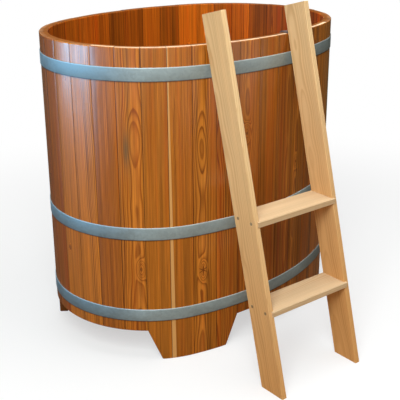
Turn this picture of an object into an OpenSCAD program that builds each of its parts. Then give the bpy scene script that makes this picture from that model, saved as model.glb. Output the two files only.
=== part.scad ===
// Oval outdoor tub of upright staves, held by three hoops, with a ladder hooked over its rim.
// Millimetres, +Z up, the ground is Z = 0. The tub is long in X, and the ladder leans on its -Y side.

/* [Tub] */
// Outside length of the oval
tub_length = 1074; // [1040:2:1160]
// Outside width of the oval
tub_width = 750; // [720:10:800]
// Outside radius of the two long sides
side_radius = 901.5; // [880:0.5:1000]
// Height of the rim above the ground
tub_height = 1000; // [850:10:1200]

/* [Staves] */
// Thickness of a stave
stave_thickness = 28; // [24:1:34]
// Staves round each tight end
end_staves = 11; // [9:1:11]
// Staves along each long side
side_staves = 8; // [6:1:8]
// Bevel on the edges of the rim and of the lower ends
end_bevel = 2; // [1:0.5:4]

/* [Feet] */
// Height of the plain staves' lower ends above the ground
foot_height = 104; // [80:2:130]
// How far each sawn side of a foot leans in over that height
foot_taper = 45; // [30:1:55]
// Radius of a foot's lower corners
foot_corner = 10; // [5:1:15]
// Staves on each side of a foot's middle seam
foot_half_staves = 2; // [1:1:3]

/* [Hoops] */
// Width of a hoop's band
hoop_width = 40; // [25:1:50]
// Thickness of a hoop's band
hoop_thickness = 2; // [1.5:0.5:3]
// Distance from the rim down to the upper hoop
rim_to_upper_hoop = 57; // [30:1:100]
// Height of the middle hoop's lower edge above the ground
middle_hoop_height = 415; // [300:5:600]
// Distance from the plain staves' lower ends up to the lower hoop
end_to_lower_hoop = 36; // [10:1:80]
// Length over which a hoop's two ends lap
hoop_lap = 84; // [70:2:120]
// Radius of a rivet's shank
rivet_radius = 3; // [2:0.5:4]
// Radius of a rivet's head
rivet_head_radius = 5.5; // [5:0.5:8]
// Height of a rivet's head
rivet_head_height = 2.5; // [1.5:0.5:4]
// Distance between the two rivets of a lap
rivet_spacing = 44; // [30:2:50]

/* [Floor] */
// Thickness of the floor boards
floor_thickness = 28; // [22:1:36]
// Height of the floor's underside above the plain staves' lower ends
chime_depth = 26; // [25:1:60]
// Depth of the croze, the groove that the floor sits in
croze_depth = 10; // [6:1:14]
// Number of floor boards, odd so that one lies in the middle
floor_boards = 5; // [3:2:5]
// Depth of the tongue on each board
tongue_depth = 8; // [5:1:10]
// Thickness of the tongue
tongue_thickness = 8; // [6:1:10]
// Width of the two battens below the floor
batten_width = 90; // [60:5:110]
// Thickness of the battens
batten_thickness = 24; // [18:1:24]
// Distance of each batten's middle from the tub's end
batten_from_end = 317; // [305:2:350]
// Distance of a batten's ends from the staves
batten_end_gap = 8; // [4:1:20]
// Radius of the floor screws' shanks
floor_screw_radius = 2.5; // [2:0.25:3]
// Depth to which the floor screws enter the boards
floor_screw_grip = 18; // [12:1:20]
// Distance of the floor screws from each board's middle
floor_screw_spread = 35; // [25:1:45]

/* [Drain] */
// Distance of the drain's middle from the tub's end
drain_from_end = 202; // [180:2:230]
// Outside radius of the thread that the back nut runs on
thread_radius = 23.9; // [22:0.1:26]
// Length of the thread below the floor
thread_length = 24; // [20:1:30]
// Outside radius of the plain spigot below the thread
spigot_radius = 20; // [19:0.5:21]
// Length of the spigot
spigot_length = 38; // [20:1:44]
// Radius of the waterway
waterway_radius = 17; // [14:0.5:17.5]
// Radius of the flange on the floor
flange_radius = 38; // [34:1:45]
// Thickness of the flange
flange_thickness = 5; // [4:0.5:7]
// Depth of the tapered seat below the flange's top
seat_depth = 14; // [10:1:18]
// How much wider the seat is at its mouth than the waterway
seat_flare = 3; // [2:0.5:4]
// Thickness of each of the two gaskets
gasket_thickness = 2; // [1.5:0.5:3]
// Height of the back nut
nut_height = 12; // [8:1:16]
// Radius of the back nut over its corners
nut_corner_radius = 36; // [33:1:42]
// Radius of the plug's knob
knob_radius = 9; // [7:1:12]
// Height of the plug's knob above its collar
knob_height = 17; // [12:1:24]

/* [Ladder] */
// Distance over the outer faces of the stiles
ladder_width = 338; // [300:2:380]
// Thickness of a stile
stile_thickness = 18; // [16:1:26]
// Width of a stile
stile_width = 90; // [80:1:110]
// Lean of the ladder from upright, in degrees
ladder_lean = 14.8; // [12:0.1:18]
// Turn of the ladder round the tub's long side, in degrees
ladder_turn = -7; // [-10:0.5:10]
// Height of the stiles' rear upper corners above the rim
stile_overshoot = 82; // [60:1:120]
// Rise from the ground to the first step and from there to the second
step_rise = 261; // [220:1:290]
// Thickness of a step
step_thickness = 18; // [16:1:26]
// Depth to which a step is let into each stile
step_housing = 8; // [4:1:10]
// How far a step stands out in front of the stiles
step_nosing = 7; // [3:1:12]
// Bevel on the long edges of the steps and stiles and on the stiles' upper ends
edge_bevel = 1.5; // [1:0.5:2.5]
// Radius of the step screws' shanks
step_screw_radius = 2.5; // [2:0.25:3]
// Length of the step screws
step_screw_length = 60; // [45:1:75]
// Distance between the two screws at each end of a step
step_screw_spacing = 58; // [40:1:64]

/* [Rim hook] */
// Thickness of the hook's steel
hook_thickness = 3; // [2:0.5:4]
// Height of the tongue's underside above the rim
hook_rise = 1; // [0.5:0.5:8]
// How far the hook's lip reaches below the rim inside the tub
hook_reach = 30; // [15:1:45]
// Distance between the hook's lip and the staves
hook_play = 1.5; // [1:0.5:4]
// Outer radius of the bend from the tongue to the lip
hook_bend = 7; // [5:1:9]
// Length of the flange screwed to the stile
hook_flange_length = 62; // [50:1:75]
// Height of that flange below the tongue
hook_flange_height = 24; // [18:1:30]
// Radius of the hook screws' shanks
hook_screw_radius = 2; // [1.5:0.25:2.5]
// Length of the hook screws
hook_screw_length = 18; // [14:1:19]
// Distance between the hook's two screws
hook_screw_spacing = 36; // [26:1:44]

/* [Fits] */
// Clearance where pieces slip together
slip_gap = 0.3; // [0.2:0.05:0.5]
// Clearance round screws and rivets in their holes
screw_gap = 0.05; // [0.03:0.01:0.1]

/* [Hidden] */
$fn = 96;

// The oval has four centres: two for the tight ends and two for the long sides. Each long side's
// centre lies past the middle, so that the arcs meet without a kink.
half_length = tub_length / 2;
half_width = tub_width / 2;
end_radius = (2 * side_radius * half_width - half_length ^ 2 - half_width ^ 2)
    / (2 * (side_radius - half_length));
end_centre = half_length - end_radius;
side_centre = side_radius - half_width;
end_half_angle = atan2(side_centre, end_centre);
side_half_angle = 90 - end_half_angle;

// The arcs follow each other anticlockwise, from the front side's left end
// Each is its centre, outside radius, first angle, sweep and number of staves
FRONT = 0;
RIGHT = 1;
BACK = 2;
LEFT = 3;
ARCS = [
    [[0, side_centre], side_radius, -90 - side_half_angle, 2 * side_half_angle, side_staves],
    [[end_centre, 0], end_radius, -end_half_angle, 2 * end_half_angle, end_staves],
    [[0, -side_centre], side_radius, 90 - side_half_angle, 2 * side_half_angle, side_staves],
    [[-end_centre, 0], end_radius, 180 - end_half_angle, 2 * end_half_angle, end_staves],
];
STAVE_COUNT = 2 * (side_staves + end_staves);

function arc_centre(arc) = ARCS[arc][0];
function arc_radius(arc) = ARCS[arc][1];
function arc_start(arc) = ARCS[arc][2];
function arc_sweep(arc) = ARCS[arc][3];
function arc_staves(arc) = ARCS[arc][4];
function arc_end_stave(arc) = arc < FRONT ? 0 : arc_end_stave(arc - 1) + arc_staves(arc);
function stave_arc(i, arc = FRONT) = i < arc_end_stave(arc) ? arc : stave_arc(i, arc + 1);
function two_digits(n) = str(n < 10 ? "0" : "", n);
function stave_name(i) = str("stave_", two_digits(i + 1));

// Heights of what the staves carry
upper_hoop_z = tub_height - rim_to_upper_hoop - hoop_width;
lower_hoop_z = foot_height + end_to_lower_hoop;
floor_z = foot_height + chime_depth;
floor_top_z = floor_z + floor_thickness;

// Half width inside the staves at a distance x from the middle
inner_end_radius = end_radius - stave_thickness;
inner_side_radius = side_radius - stave_thickness;
function inner_half_width(x) =
    x > end_centre + inner_end_radius * cos(end_half_angle)
    ? sqrt(inner_end_radius ^ 2 - (x - end_centre) ^ 2)
    : sqrt(inner_side_radius ^ 2 - x ^ 2) - side_centre;

// The floor reaches into the croze, short of its bottom by the slip gap
floor_inset = stave_thickness - croze_depth + slip_gap;
board_pitch = (tub_width - 2 * floor_inset) / floor_boards;
LAST_BOARD = floor_boards - 1;
function board_middle(k) = (k - LAST_BOARD / 2) * board_pitch;
function board_name(k) = str("floor_board_", k + 1);
batten_x = half_length - batten_from_end;
batten_half_length = inner_half_width(batten_x + batten_width / 2) - batten_end_gap;
batten_z = floor_z - batten_thickness;
BOARD_SCREWS = [
    for (side = [-1, 1], k = [0:LAST_BOARD], spread = [-1, 1])
        let (y = board_middle(k) + spread * floor_screw_spread)
        if (abs(y) < batten_half_length - batten_end_gap) [side * batten_x, y]
];

// Place and heights of the drain's pieces
drain_x = half_length - drain_from_end;
flange_z = floor_top_z + gasket_thickness;
flange_top_z = flange_z + flange_thickness;
thread_z = floor_z - thread_length;
spigot_z = thread_z - spigot_length;
nut_z = floor_z - gasket_thickness - nut_height;
gasket_bore = thread_radius + slip_gap;
flange_bevel = 1.5;
collar_overlap = 5;
collar_height = 4;
knob_neck_radius = 4.5;
knob_head_height = 7;

// The ladder's own axes: x across it, y towards the tub, z up, and the origin at the side's centre.
// The stiles' inner rear edges rest against the rim's outer edge, just below its bevel.
stile_inner_x = ladder_width / 2 - stile_thickness;
rest_z = tub_height - end_bevel;
rest_y = -sqrt(side_radius ^ 2 - stile_inner_x ^ 2) - slip_gap;
stile_depth = stile_width / cos(ladder_lean);
stile_length = (tub_height + stile_overshoot) / cos(ladder_lean);
function stile_rear_y(z) = rest_y - (rest_z - z) * tan(ladder_lean);
function stile_front_y(z) = stile_rear_y(z) - stile_depth;
step_length = 2 * (stile_inner_x + step_housing);
LEFT_SIDE = -1;
RIGHT_SIDE = 1;
LOWER = 1;
UPPER = 2;

// The hook's flange lies on the outer face of the right stile. Behind that stile a tongue as wide as
// stile and flange together passes over the rim, and its lip hangs inside the staves.
hook_outer_x = ladder_width / 2 + hook_thickness;
tongue_z = tub_height + hook_rise;
tongue_top_z = tongue_z + hook_thickness;
tongue_front_y = stile_rear_y(tongue_top_z) + slip_gap;
lip_y = hook_play - sqrt(inner_side_radius ^ 2 - hook_outer_x ^ 2);
lip_rear_y = lip_y + hook_thickness;
lip_z = tub_height - hook_reach;
flange_low_z = tongue_z - hook_flange_height;
flange_margin = 4;
flange_rear_y = stile_rear_y(flange_low_z) - flange_margin;
flange_front_y = flange_rear_y - hook_flange_length;
hook_screw_z = tongue_z - hook_flange_height / 2;

// The model's origin is below the middle of its box, so the tub lies back by half the ladder's reach
ladder_corner = [ladder_width / 2, stile_front_y(0)];
ladder_front_y = side_centre + ladder_corner[1] * cos(ladder_turn)
    - ladder_corner[0] * abs(sin(ladder_turn));
tub_back_y = half_width + 2 * hoop_thickness + rivet_head_height;
origin_shift = -(ladder_front_y + tub_back_y) / 2;

module in_place() {
    translate([0, origin_shift, 0]) children();
}

// Space past a surface that a cut runs on
over = 2;

// The turned frame of one arc of the oval, with X pointing outwards at the given angle
module on_arc(arc, angle) {
    translate(arc_centre(arc)) rotate([0, 0, angle]) children();
}

// Section of the wall through the croze, in radius and height
module wall_section(radius, low_z) {
    inner = radius - stave_thickness;
    groove = inner + croze_depth;
    polygon([
        [inner + end_bevel, low_z],
        [radius - end_bevel, low_z],
        [radius, low_z + end_bevel],
        [radius, tub_height - end_bevel],
        [radius - end_bevel, tub_height],
        [inner + end_bevel, tub_height],
        [inner, tub_height - end_bevel],
        [inner, floor_top_z],
        [groove, floor_top_z],
        [groove, floor_z],
        [inner, floor_z],
        [inner, low_z + end_bevel],
    ]);
}

// What the saw takes off one side of a foot, seen along the wall's radius. The foot's outer seam is
// at u = 0, its middle lies towards +u, and the lower corner is an arc tangent to both edges.
module sawn_off_outline() {
    side_angle = atan2(foot_height, foot_taper);
    corner_u = foot_taper + foot_corner * tan(side_angle / 2);
    arc_sweep = side_angle;
    arc_steps = 6;
    polygon(concat(
        [[-over, -over], [corner_u, -over]],
        [for (k = [0:arc_steps])
            let (a = -90 - arc_sweep * k / arc_steps)
            [corner_u + foot_corner * cos(a), foot_corner + foot_corner * sin(a)]],
        [[0, foot_height], [-over, foot_height]]
    ));
}

module sawn_off(radius) {
    translate([radius - stave_thickness - over, 0, 0])
        rotate([90, 0, 90])
            linear_extrude(stave_thickness + 2 * over) sawn_off_outline();
}

// One stave, and how many staves it lies from the nearest seam where two arcs meet. The outermost
// staves of the feet are sawn to a taper, except at the back of the two ends, where they stay plumb.
module stave(i) {
    arc = stave_arc(i);
    count = arc_staves(arc);
    place = i - arc_end_stave(arc - 1);
    sweep = arc_sweep(arc) / count;
    from_meeting = min(place, count - 1 - place);
    is_foot = from_meeting < foot_half_staves;
    is_outermost = from_meeting == foot_half_staves - 1;
    seam_is_ahead = place < count / 2;
    is_plumb = seam_is_ahead ? arc == LEFT : arc == RIGHT;
    is_sawn = is_outermost && !is_plumb;
    color("sienna")
    on_arc(arc, arc_start(arc) + place * sweep)
        difference() {
            rotate_extrude(angle = sweep) wall_section(arc_radius(arc), is_foot ? 0 : foot_height);
            if (is_sawn && seam_is_ahead)
                rotate([0, 0, sweep]) mirror([0, 1, 0]) sawn_off(arc_radius(arc));
            if (is_sawn && !seam_is_ahead)
                sawn_off(arc_radius(arc));
        }
}

module at_rivets(z) {
    for (side = [-1, 1])
        on_arc(BACK, 90 + side * rivet_spacing / 2 / side_radius * 180 / PI)
            translate([side_radius, 0, z + hoop_width / 2])
                rotate([0, 90, 0]) children();
}

// Plan of a hoop: one layer of band all round, and a second where its ends lap at the back
module hoop_outline() {
    difference() {
        union() {
            oval(-hoop_thickness);
            intersection() {
                oval(-2 * hoop_thickness);
                translate([-hoop_lap / 2, 0]) square([hoop_lap, tub_width]);
            }
        }
        oval(0);
    }
}

module hoop(z) {
    color("lightslategray")
    difference() {
        translate([0, 0, z]) linear_extrude(hoop_width) hoop_outline();
        at_rivets(z)
            translate([0, 0, -over])
                cylinder(h = 2 * hoop_thickness + 2 * over, r = rivet_radius + screw_gap);
    }
}

module rivet() {
    head_edge = rivet_head_height / 2;
    rotate_extrude() polygon([
        [0, 0],
        [rivet_radius, 0],
        [rivet_radius, 2 * hoop_thickness],
        [rivet_head_radius, 2 * hoop_thickness],
        [rivet_head_radius * 0.9, 2 * hoop_thickness + head_edge],
        [rivet_head_radius * 0.5, 2 * hoop_thickness + rivet_head_height],
        [0, 2 * hoop_thickness + rivet_head_height],
    ]);
}

module hoop_rivets() {
    color("silver")
    for (z = [upper_hoop_z, middle_hoop_height, lower_hoop_z]) at_rivets(z) rivet();
}

// The region inside the oval, drawn in by an inset. Past the lines where the arcs meet it is the
// ends' circles, and between these lines it is what the two sides' circles share.
module oval(inset) {
    meeting_x = end_centre + (end_radius - inset) * cos(end_half_angle);
    for (side = [-1, 1])
        intersection() {
            translate([side * end_centre, 0]) circle(end_radius - inset);
            upright_strip(side * meeting_x, side * tub_length);
        }
    intersection() {
        translate([0, side_centre]) circle(side_radius - inset);
        translate([0, -side_centre]) circle(side_radius - inset);
        upright_strip(-meeting_x, meeting_x);
    }
}

module upright_strip(from_x, to_x) {
    polygon([[from_x, -tub_width], [to_x, -tub_width], [to_x, tub_width], [from_x, tub_width]]);
}

// Section across one board, with a groove towards -Y and a tongue towards +Y except at the walls
module board_section(k) {
    low_y = board_middle(k) - board_pitch / 2;
    high_y = board_middle(k) + board_pitch / 2;
    middle_z = floor_thickness / 2;
    tongue_half = tongue_thickness / 2;
    groove_half = tongue_half + slip_gap / 2;
    groove_y = low_y + tongue_depth + slip_gap;
    polygon(concat(
        [[low_y, 0], [high_y, 0]],
        k < LAST_BOARD ? [
            [high_y, middle_z - tongue_half],
            [high_y + tongue_depth, middle_z - tongue_half],
            [high_y + tongue_depth, middle_z + tongue_half],
            [high_y, middle_z + tongue_half],
        ] : [],
        [[high_y, floor_thickness], [low_y, floor_thickness]],
        k > 0 ? [
            [low_y, middle_z + groove_half],
            [groove_y, middle_z + groove_half],
            [groove_y, middle_z - groove_half],
            [low_y, middle_z - groove_half],
        ] : []
    ));
}

module floor_board(k) {
    has_drain = abs(board_middle(k)) < board_pitch / 2;
    color("peru")
    difference() {
        intersection() {
            translate([-half_length, 0, floor_z])
                rotate([90, 0, 90]) linear_extrude(tub_length) board_section(k);
            translate([0, 0, floor_z]) linear_extrude(floor_thickness) oval(floor_inset);
        }
        if (has_drain)
            translate([drain_x, 0, floor_z - over])
                cylinder(h = floor_thickness + 2 * over, r = thread_radius + slip_gap);
        for (p = BOARD_SCREWS)
            if (abs(p[1] - board_middle(k)) < board_pitch / 2)
                translate([p[0], p[1], batten_z]) screw_hole(floor_screw_radius, floor_screw_length);
    }
}

// A countersunk screw pointing along +Z, with its head flush at Z = 0, and the hole that it fills
floor_screw_length = batten_thickness + floor_screw_grip;
function head_radius(shank_radius) = 2 * shank_radius;

module screw(shank_radius, length) {
    tip = 2 * shank_radius;
    rotate_extrude() polygon([
        [0, 0],
        [head_radius(shank_radius), 0],
        [shank_radius, shank_radius],
        [shank_radius, length - tip],
        [0, length],
    ]);
}

module screw_hole(shank_radius, length) {
    wide = head_radius(shank_radius) + screw_gap;
    narrow = shank_radius + screw_gap;
    rotate_extrude() polygon([
        [0, -over],
        [wide, -over],
        [wide, 0],
        [narrow, shank_radius],
        [narrow, length],
        [0, length],
    ]);
}

module floor_battens() {
    color("burlywood")
    difference() {
        for (side = [-1, 1])
            translate([side * batten_x - batten_width / 2, -batten_half_length, batten_z])
                cube([batten_width, 2 * batten_half_length, batten_thickness]);
        for (p = BOARD_SCREWS)
            translate([p[0], p[1], batten_z]) screw_hole(floor_screw_radius, floor_screw_length);
    }
}

module floor_screws() {
    color("gray")
    for (p = BOARD_SCREWS)
        translate([p[0], p[1], batten_z]) screw(floor_screw_radius, floor_screw_length);
}

module at_drain() {
    translate([drain_x, 0, 0]) children();
}

module drain_body() {
    color("silver")
    at_drain() rotate_extrude() polygon([
        [waterway_radius, spigot_z],
        [spigot_radius, spigot_z],
        [spigot_radius, thread_z],
        [thread_radius, thread_z],
        [thread_radius, flange_z],
        [flange_radius, flange_z],
        [flange_radius, flange_top_z - flange_bevel],
        [flange_radius - flange_bevel, flange_top_z],
        [waterway_radius + seat_flare, flange_top_z],
        [waterway_radius, flange_top_z - seat_depth],
    ]);
}

module drain_gaskets() {
    color("dimgray")
    at_drain()
        for (z = [floor_top_z, floor_z - gasket_thickness])
            translate([0, 0, z]) rotate_extrude()
                translate([gasket_bore, 0]) square([flange_radius - gasket_bore - flange_bevel, gasket_thickness]);
}

module drain_nut() {
    color("silver")
    at_drain() translate([0, 0, nut_z])
        difference() {
            cylinder(h = nut_height, r = nut_corner_radius, $fn = 6);
            translate([0, 0, -over]) cylinder(h = nut_height + 2 * over, r = thread_radius + screw_gap);
        }
}

// The plug's taper follows the seat, and its collar lies over the flange
module drain_plug() {
    plug_depth = seat_depth - over;
    low_radius = waterway_radius + seat_flare * (seat_depth - plug_depth) / seat_depth - slip_gap;
    high_radius = waterway_radius + seat_flare - slip_gap;
    collar_z = flange_top_z + slip_gap;
    collar_top_z = collar_z + collar_height;
    collar_radius = waterway_radius + seat_flare + collar_overlap;
    knob_top_z = collar_top_z + knob_height;
    color("darkslategray")
    at_drain() rotate_extrude() polygon([
        [0, flange_top_z - plug_depth],
        [low_radius, flange_top_z - plug_depth],
        [high_radius, collar_z],
        [collar_radius, collar_z],
        [collar_radius, collar_z + collar_height / 2],
        [collar_radius - collar_height / 2, collar_top_z],
        [knob_neck_radius, collar_top_z],
        [knob_neck_radius, knob_top_z - knob_head_height],
        [knob_radius, knob_top_z - knob_head_height],
        [knob_radius, knob_top_z - knob_head_height / 3],
        [knob_radius * 0.7, knob_top_z],
        [0, knob_top_z],
    ]);
}

module in_ladder() {
    translate([0, side_centre, 0]) rotate([0, 0, ladder_turn]) children();
}

// Carries an outline in the ladder's y and z over a stretch of its x
module across(x, length) {
    translate([x, 0, 0]) rotate([90, 0, 90]) linear_extrude(length) children();
}

// Side view of a stile: its foot is sawn level with the ground and its top square
module stile_outline() {
    lean_axis = [sin(ladder_lean), cos(ladder_lean)];
    front_axis = [-cos(ladder_lean), sin(ladder_lean)];
    rear_top = [stile_rear_y(0), 0] + stile_length * lean_axis;
    front_top = rear_top + stile_width * front_axis;
    polygon([
        [stile_rear_y(0), 0],
        rear_top - edge_bevel * lean_axis,
        rear_top + edge_bevel * front_axis,
        front_top - edge_bevel * front_axis,
        front_top - edge_bevel * lean_axis,
        [stile_front_y(0), 0],
    ]);
}

// Section of a planed board from the origin, with its four edges bevelled
module planed_section(width, thickness) {
    polygon([
        [edge_bevel, 0],
        [width - edge_bevel, 0],
        [width, edge_bevel],
        [width, thickness - edge_bevel],
        [width - edge_bevel, thickness],
        [edge_bevel, thickness],
        [0, thickness - edge_bevel],
        [0, edge_bevel],
    ]);
}

// A planed bar along a stile's lean, longer than the stile at both ends
module leaning_bar() {
    translate([0, stile_rear_y(0), 0])
        rotate([-ladder_lean, 0, 0])
            translate([0, -stile_width, -stile_width])
                linear_extrude(stile_length + 2 * stile_width)
                    planed_section(stile_thickness, stile_width);
}

// Side view of a step
module step_outline(number) {
    top_z = number * step_rise;
    front_y = stile_front_y(top_z) - step_nosing;
    translate([front_y, top_z - step_thickness])
        planed_section(stile_rear_y(top_z) - front_y, step_thickness);
}

// Every screw of one stile, as the place of its head, with X pointing along the screw
module at_step_screws(side) {
    for (number = [LOWER, UPPER], end = [-1, 1]) {
        middle_z = number * step_rise - step_thickness / 2;
        middle_y = (stile_rear_y(middle_z) + stile_front_y(middle_z)) / 2;
        translate([side * ladder_width / 2, middle_y + end * step_screw_spacing / 2, middle_z])
            rotate([0, -side * 90, 0]) children();
    }
}

module at_hook_screws() {
    for (end = [-1, 1])
        translate([
            hook_outer_x,
            flange_rear_y - hook_flange_length / 2 + end * hook_screw_spacing / 2,
            hook_screw_z
        ]) rotate([0, -90, 0]) children();
}

module stile(side) {
    low_x = side > 0 ? stile_inner_x : -ladder_width / 2;
    color("wheat")
    in_ladder() difference() {
        intersection() {
            across(low_x, stile_thickness) stile_outline();
            translate([low_x, 0, 0]) leaning_bar();
        }
        for (number = [LOWER, UPPER])
            across(-step_length / 2, step_length) step_outline(number);
        at_step_screws(side) screw_hole(step_screw_radius, step_screw_length);
        if (side == RIGHT_SIDE) at_hook_screws() screw_hole(hook_screw_radius, hook_screw_length);
    }
}

module step(number) {
    color("wheat")
    in_ladder() difference() {
        across(-step_length / 2, step_length) step_outline(number);
        for (side = [LEFT_SIDE, RIGHT_SIDE])
            at_step_screws(side) screw_hole(step_screw_radius, step_screw_length);
    }
}

// Side view of the hook's flange, with an arm along its top that carries the tongue
module flange_outline() {
    polygon([
        [flange_front_y, flange_low_z],
        [flange_rear_y, flange_low_z],
        [flange_rear_y, tongue_z],
        [tongue_front_y + hook_thickness, tongue_z],
        [tongue_front_y + hook_thickness, tongue_top_z],
        [flange_front_y, tongue_top_z],
    ]);
}

// Side view of the hook's strap: the tongue over the rim, a rounded bend, and the lip inside the tub
module strap_outline() {
    bend_y = lip_rear_y - hook_bend;
    bend_z = tongue_top_z - hook_bend;
    inner_bend = hook_bend - hook_thickness;
    bend_steps = 6;
    polygon(concat(
        [[tongue_front_y, tongue_z], [tongue_front_y, tongue_top_z]],
        [for (k = [0:bend_steps])
            let (a = 90 - 90 * k / bend_steps)
            [bend_y + hook_bend * cos(a), bend_z + hook_bend * sin(a)]],
        [[lip_rear_y, lip_z], [lip_y, lip_z]],
        [for (k = [0:bend_steps])
            let (a = 90 * k / bend_steps)
            [bend_y + inner_bend * cos(a), bend_z + inner_bend * sin(a)]]
    ));
}

module rim_hook() {
    color("darkgray")
    in_ladder() difference() {
        union() {
            across(stile_inner_x, hook_outer_x - stile_inner_x) strap_outline();
            across(ladder_width / 2, hook_thickness) flange_outline();
        }
        at_hook_screws() screw_hole(hook_screw_radius, hook_screw_length);
    }
}

module ladder_screws() {
    color("gray")
    in_ladder() {
        for (side = [LEFT_SIDE, RIGHT_SIDE])
            at_step_screws(side) screw(step_screw_radius, step_screw_length);
        at_hook_screws() screw(hook_screw_radius, hook_screw_length);
    }
}

for (i = [0:STAVE_COUNT - 1])
    in_place() stave(i);
in_place() hoop(upper_hoop_z);  // hoop_upper
in_place() hoop(middle_hoop_height);  // hoop_middle
in_place() hoop(lower_hoop_z);  // hoop_lower
in_place() hoop_rivets();
for (k = [0:LAST_BOARD])
    in_place() floor_board(k);
in_place() floor_battens();
in_place() floor_screws();
in_place() drain_body();
in_place() drain_gaskets();
in_place() drain_nut();
in_place() drain_plug();
in_place() stile(LEFT_SIDE);  // stile_left
in_place() stile(RIGHT_SIDE);  // stile_right
in_place() step(LOWER);  // step_lower
in_place() step(UPPER);  // step_upper
in_place() rim_hook();
in_place() ladder_screws();
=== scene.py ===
"""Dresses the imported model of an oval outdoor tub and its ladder, and lights it in a plain studio.

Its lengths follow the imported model. The staves, hoops, rivets, screws and the drain's body, gaskets
and plug are new surfaces, worked out with numpy in the place of their nodes. The other nodes keep
their shape and get a finish. All lengths are metres, Z is up and the ground is Z = 0.
"""

import math

import bpy
import numpy as np
from mathutils import Matrix, Vector


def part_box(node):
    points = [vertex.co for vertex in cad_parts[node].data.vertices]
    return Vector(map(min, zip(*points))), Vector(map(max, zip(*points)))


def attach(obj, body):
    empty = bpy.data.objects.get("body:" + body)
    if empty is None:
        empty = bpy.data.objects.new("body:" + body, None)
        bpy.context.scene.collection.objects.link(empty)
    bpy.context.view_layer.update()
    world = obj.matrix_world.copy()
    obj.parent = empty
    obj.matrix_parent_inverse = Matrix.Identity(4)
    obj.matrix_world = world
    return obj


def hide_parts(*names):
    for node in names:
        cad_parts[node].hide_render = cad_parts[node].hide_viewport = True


bl_info = {
    "name": "Outdoor Stave Tub",
    "version": (1, 0, 0),
    "blender": (4, 5, 0),
    "location": "View3D > Sidebar > Stave Tub",
    "description": "Dresses a packed stave tub and its ladder in wood, zinc and steel",
    "category": "Add Mesh",
}

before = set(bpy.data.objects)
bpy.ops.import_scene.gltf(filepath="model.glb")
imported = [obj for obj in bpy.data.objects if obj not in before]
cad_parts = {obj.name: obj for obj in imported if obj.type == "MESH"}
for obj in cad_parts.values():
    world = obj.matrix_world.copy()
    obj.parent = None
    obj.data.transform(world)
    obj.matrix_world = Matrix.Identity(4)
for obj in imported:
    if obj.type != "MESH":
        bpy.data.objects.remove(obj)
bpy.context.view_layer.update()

# The oval's plan: two tight ends and two long sides
HALF_LENGTH = 0.537
HALF_WIDTH = 0.375
SIDE_RADIUS = 0.9015
END_RADIUS = 0.339
END_CENTRE = HALF_LENGTH - END_RADIUS
SIDE_CENTRE = SIDE_RADIUS - HALF_WIDTH
END_HALF_ANGLE = math.atan2(SIDE_CENTRE, END_CENTRE)
SIDE_HALF_ANGLE = math.pi / 2 - END_HALF_ANGLE
END_STAVES = 11
SIDE_STAVES = 8
STAVE_COUNT = 2 * (END_STAVES + SIDE_STAVES)

# Upright sizes of the staves
RIM = 1.0
STAVE_THICKNESS = 0.028
END_BEVEL = 0.002
FOOT_HEIGHT = 0.104
FOOT_TAPER = 0.045
FOOT_CORNER = 0.010
FOOT_HALF_STAVES = 2
CROZE_LOW = 0.130
CROZE_HIGH = 0.158
CROZE_DEPTH = 0.010

# How a stave's surface is divided: points across a face, heights of the foot's rows, and how many
# rows the wall has from its lowest to the one that lies this far below the rim
FACE_POINTS = 6
FOOT_ROWS = (0.0032, 0.0046, 0.0062, 0.03, 0.06, FOOT_HEIGHT)
WALL_ROWS = 12
WALL_LOW = 0.2
RIM_ROW = 0.03

# The angles of a rounded edge
ROUNDING = np.linspace(0, math.pi / 2, 4)

# What the staves' figure is drawn with. A mark that a stave doesn't have lies metres off it.
FIGURE_SEED = 7000
NOWHERE = 5.0
SMALL_KNOT = 0.003
# Staves at the left end whose rim gets a painted highlight
PALE_LEFT_STAVES = 4
SAPWOOD_AT_GROUND = 0.0155
SAPWOOD_AT_RIM = 0.0045

# The hoops, their laps and their rivets
HOOP_WIDTH = 0.040
HOOP_THICKNESS = 0.002
HOOP_LAP = 0.084
HOOP_STEP = 0.010
LAP_RISE = 0.012
HOOP_HEIGHTS = {"hoop_upper": 0.903, "hoop_middle": 0.415, "hoop_lower": 0.140}
RIVET_SPACING = 0.044
RIVET_SHANK_RADIUS = 0.003
RIVET_HEAD_RADIUS = 0.0055
RIVET_HEAD_HEIGHT = 0.0025
RIVET_STEPS = 24
RIVET_DOME_ROWS = 7

# Radii of the small rings that close a turned shape at its axis
END_RING = 0.0001
DOME_RING = 1e-5

# The tub's middle along Y, from the front of a hoop
MIDDLE_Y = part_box("hoop_upper")[0][1] + HALF_WIDTH + HOOP_THICKNESS

# The floor, its battens and screws
FLOOR_BOARDS = 5
FLOOR_INSET = 0.0183
BOARD_PITCH = 2 * (HALF_WIDTH - FLOOR_INSET) / FLOOR_BOARDS
BATTEN_X = 0.220
BATTEN_LOW = 0.106
BATTEN_END_GAP = 0.008
FLOOR_SCREW_SPREAD = 0.035

# The drain's turned pieces as radii and heights. A gasket's heights count from its underside.
DRAIN_X = 0.335
DRAIN_STEPS = 64
DRAIN_BODY = (
    (0.017, 0.068), (0.0195, 0.068), (0.020, 0.0685), (0.020, 0.106), (0.0232, 0.106),
    (0.0239, 0.1067), (0.0239, 0.160), (0.038, 0.160), (0.038, 0.1635), (0.0376, 0.1645),
    (0.0365, 0.165), (0.0203, 0.165), (0.020, 0.1648), (0.0172, 0.1515), (0.017, 0.151))
DRAIN_PLUG = (
    (END_RING, 0.153), (0.0163, 0.153), (0.01713, 0.1536), (0.0197, 0.1653), (0.0244, 0.1653),
    (0.0250, 0.1659), (0.0250, 0.1687), (0.0244, 0.1693), (0.0060, 0.1693), (0.0048, 0.1705),
    (0.0045, 0.1725), (0.0045, 0.1775), (0.0052, 0.1788), (0.0082, 0.1796), (0.0090, 0.1806),
    (0.0090, 0.1836), (0.0084, 0.1850), (0.0063, 0.1863), (END_RING, 0.1863))
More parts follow.
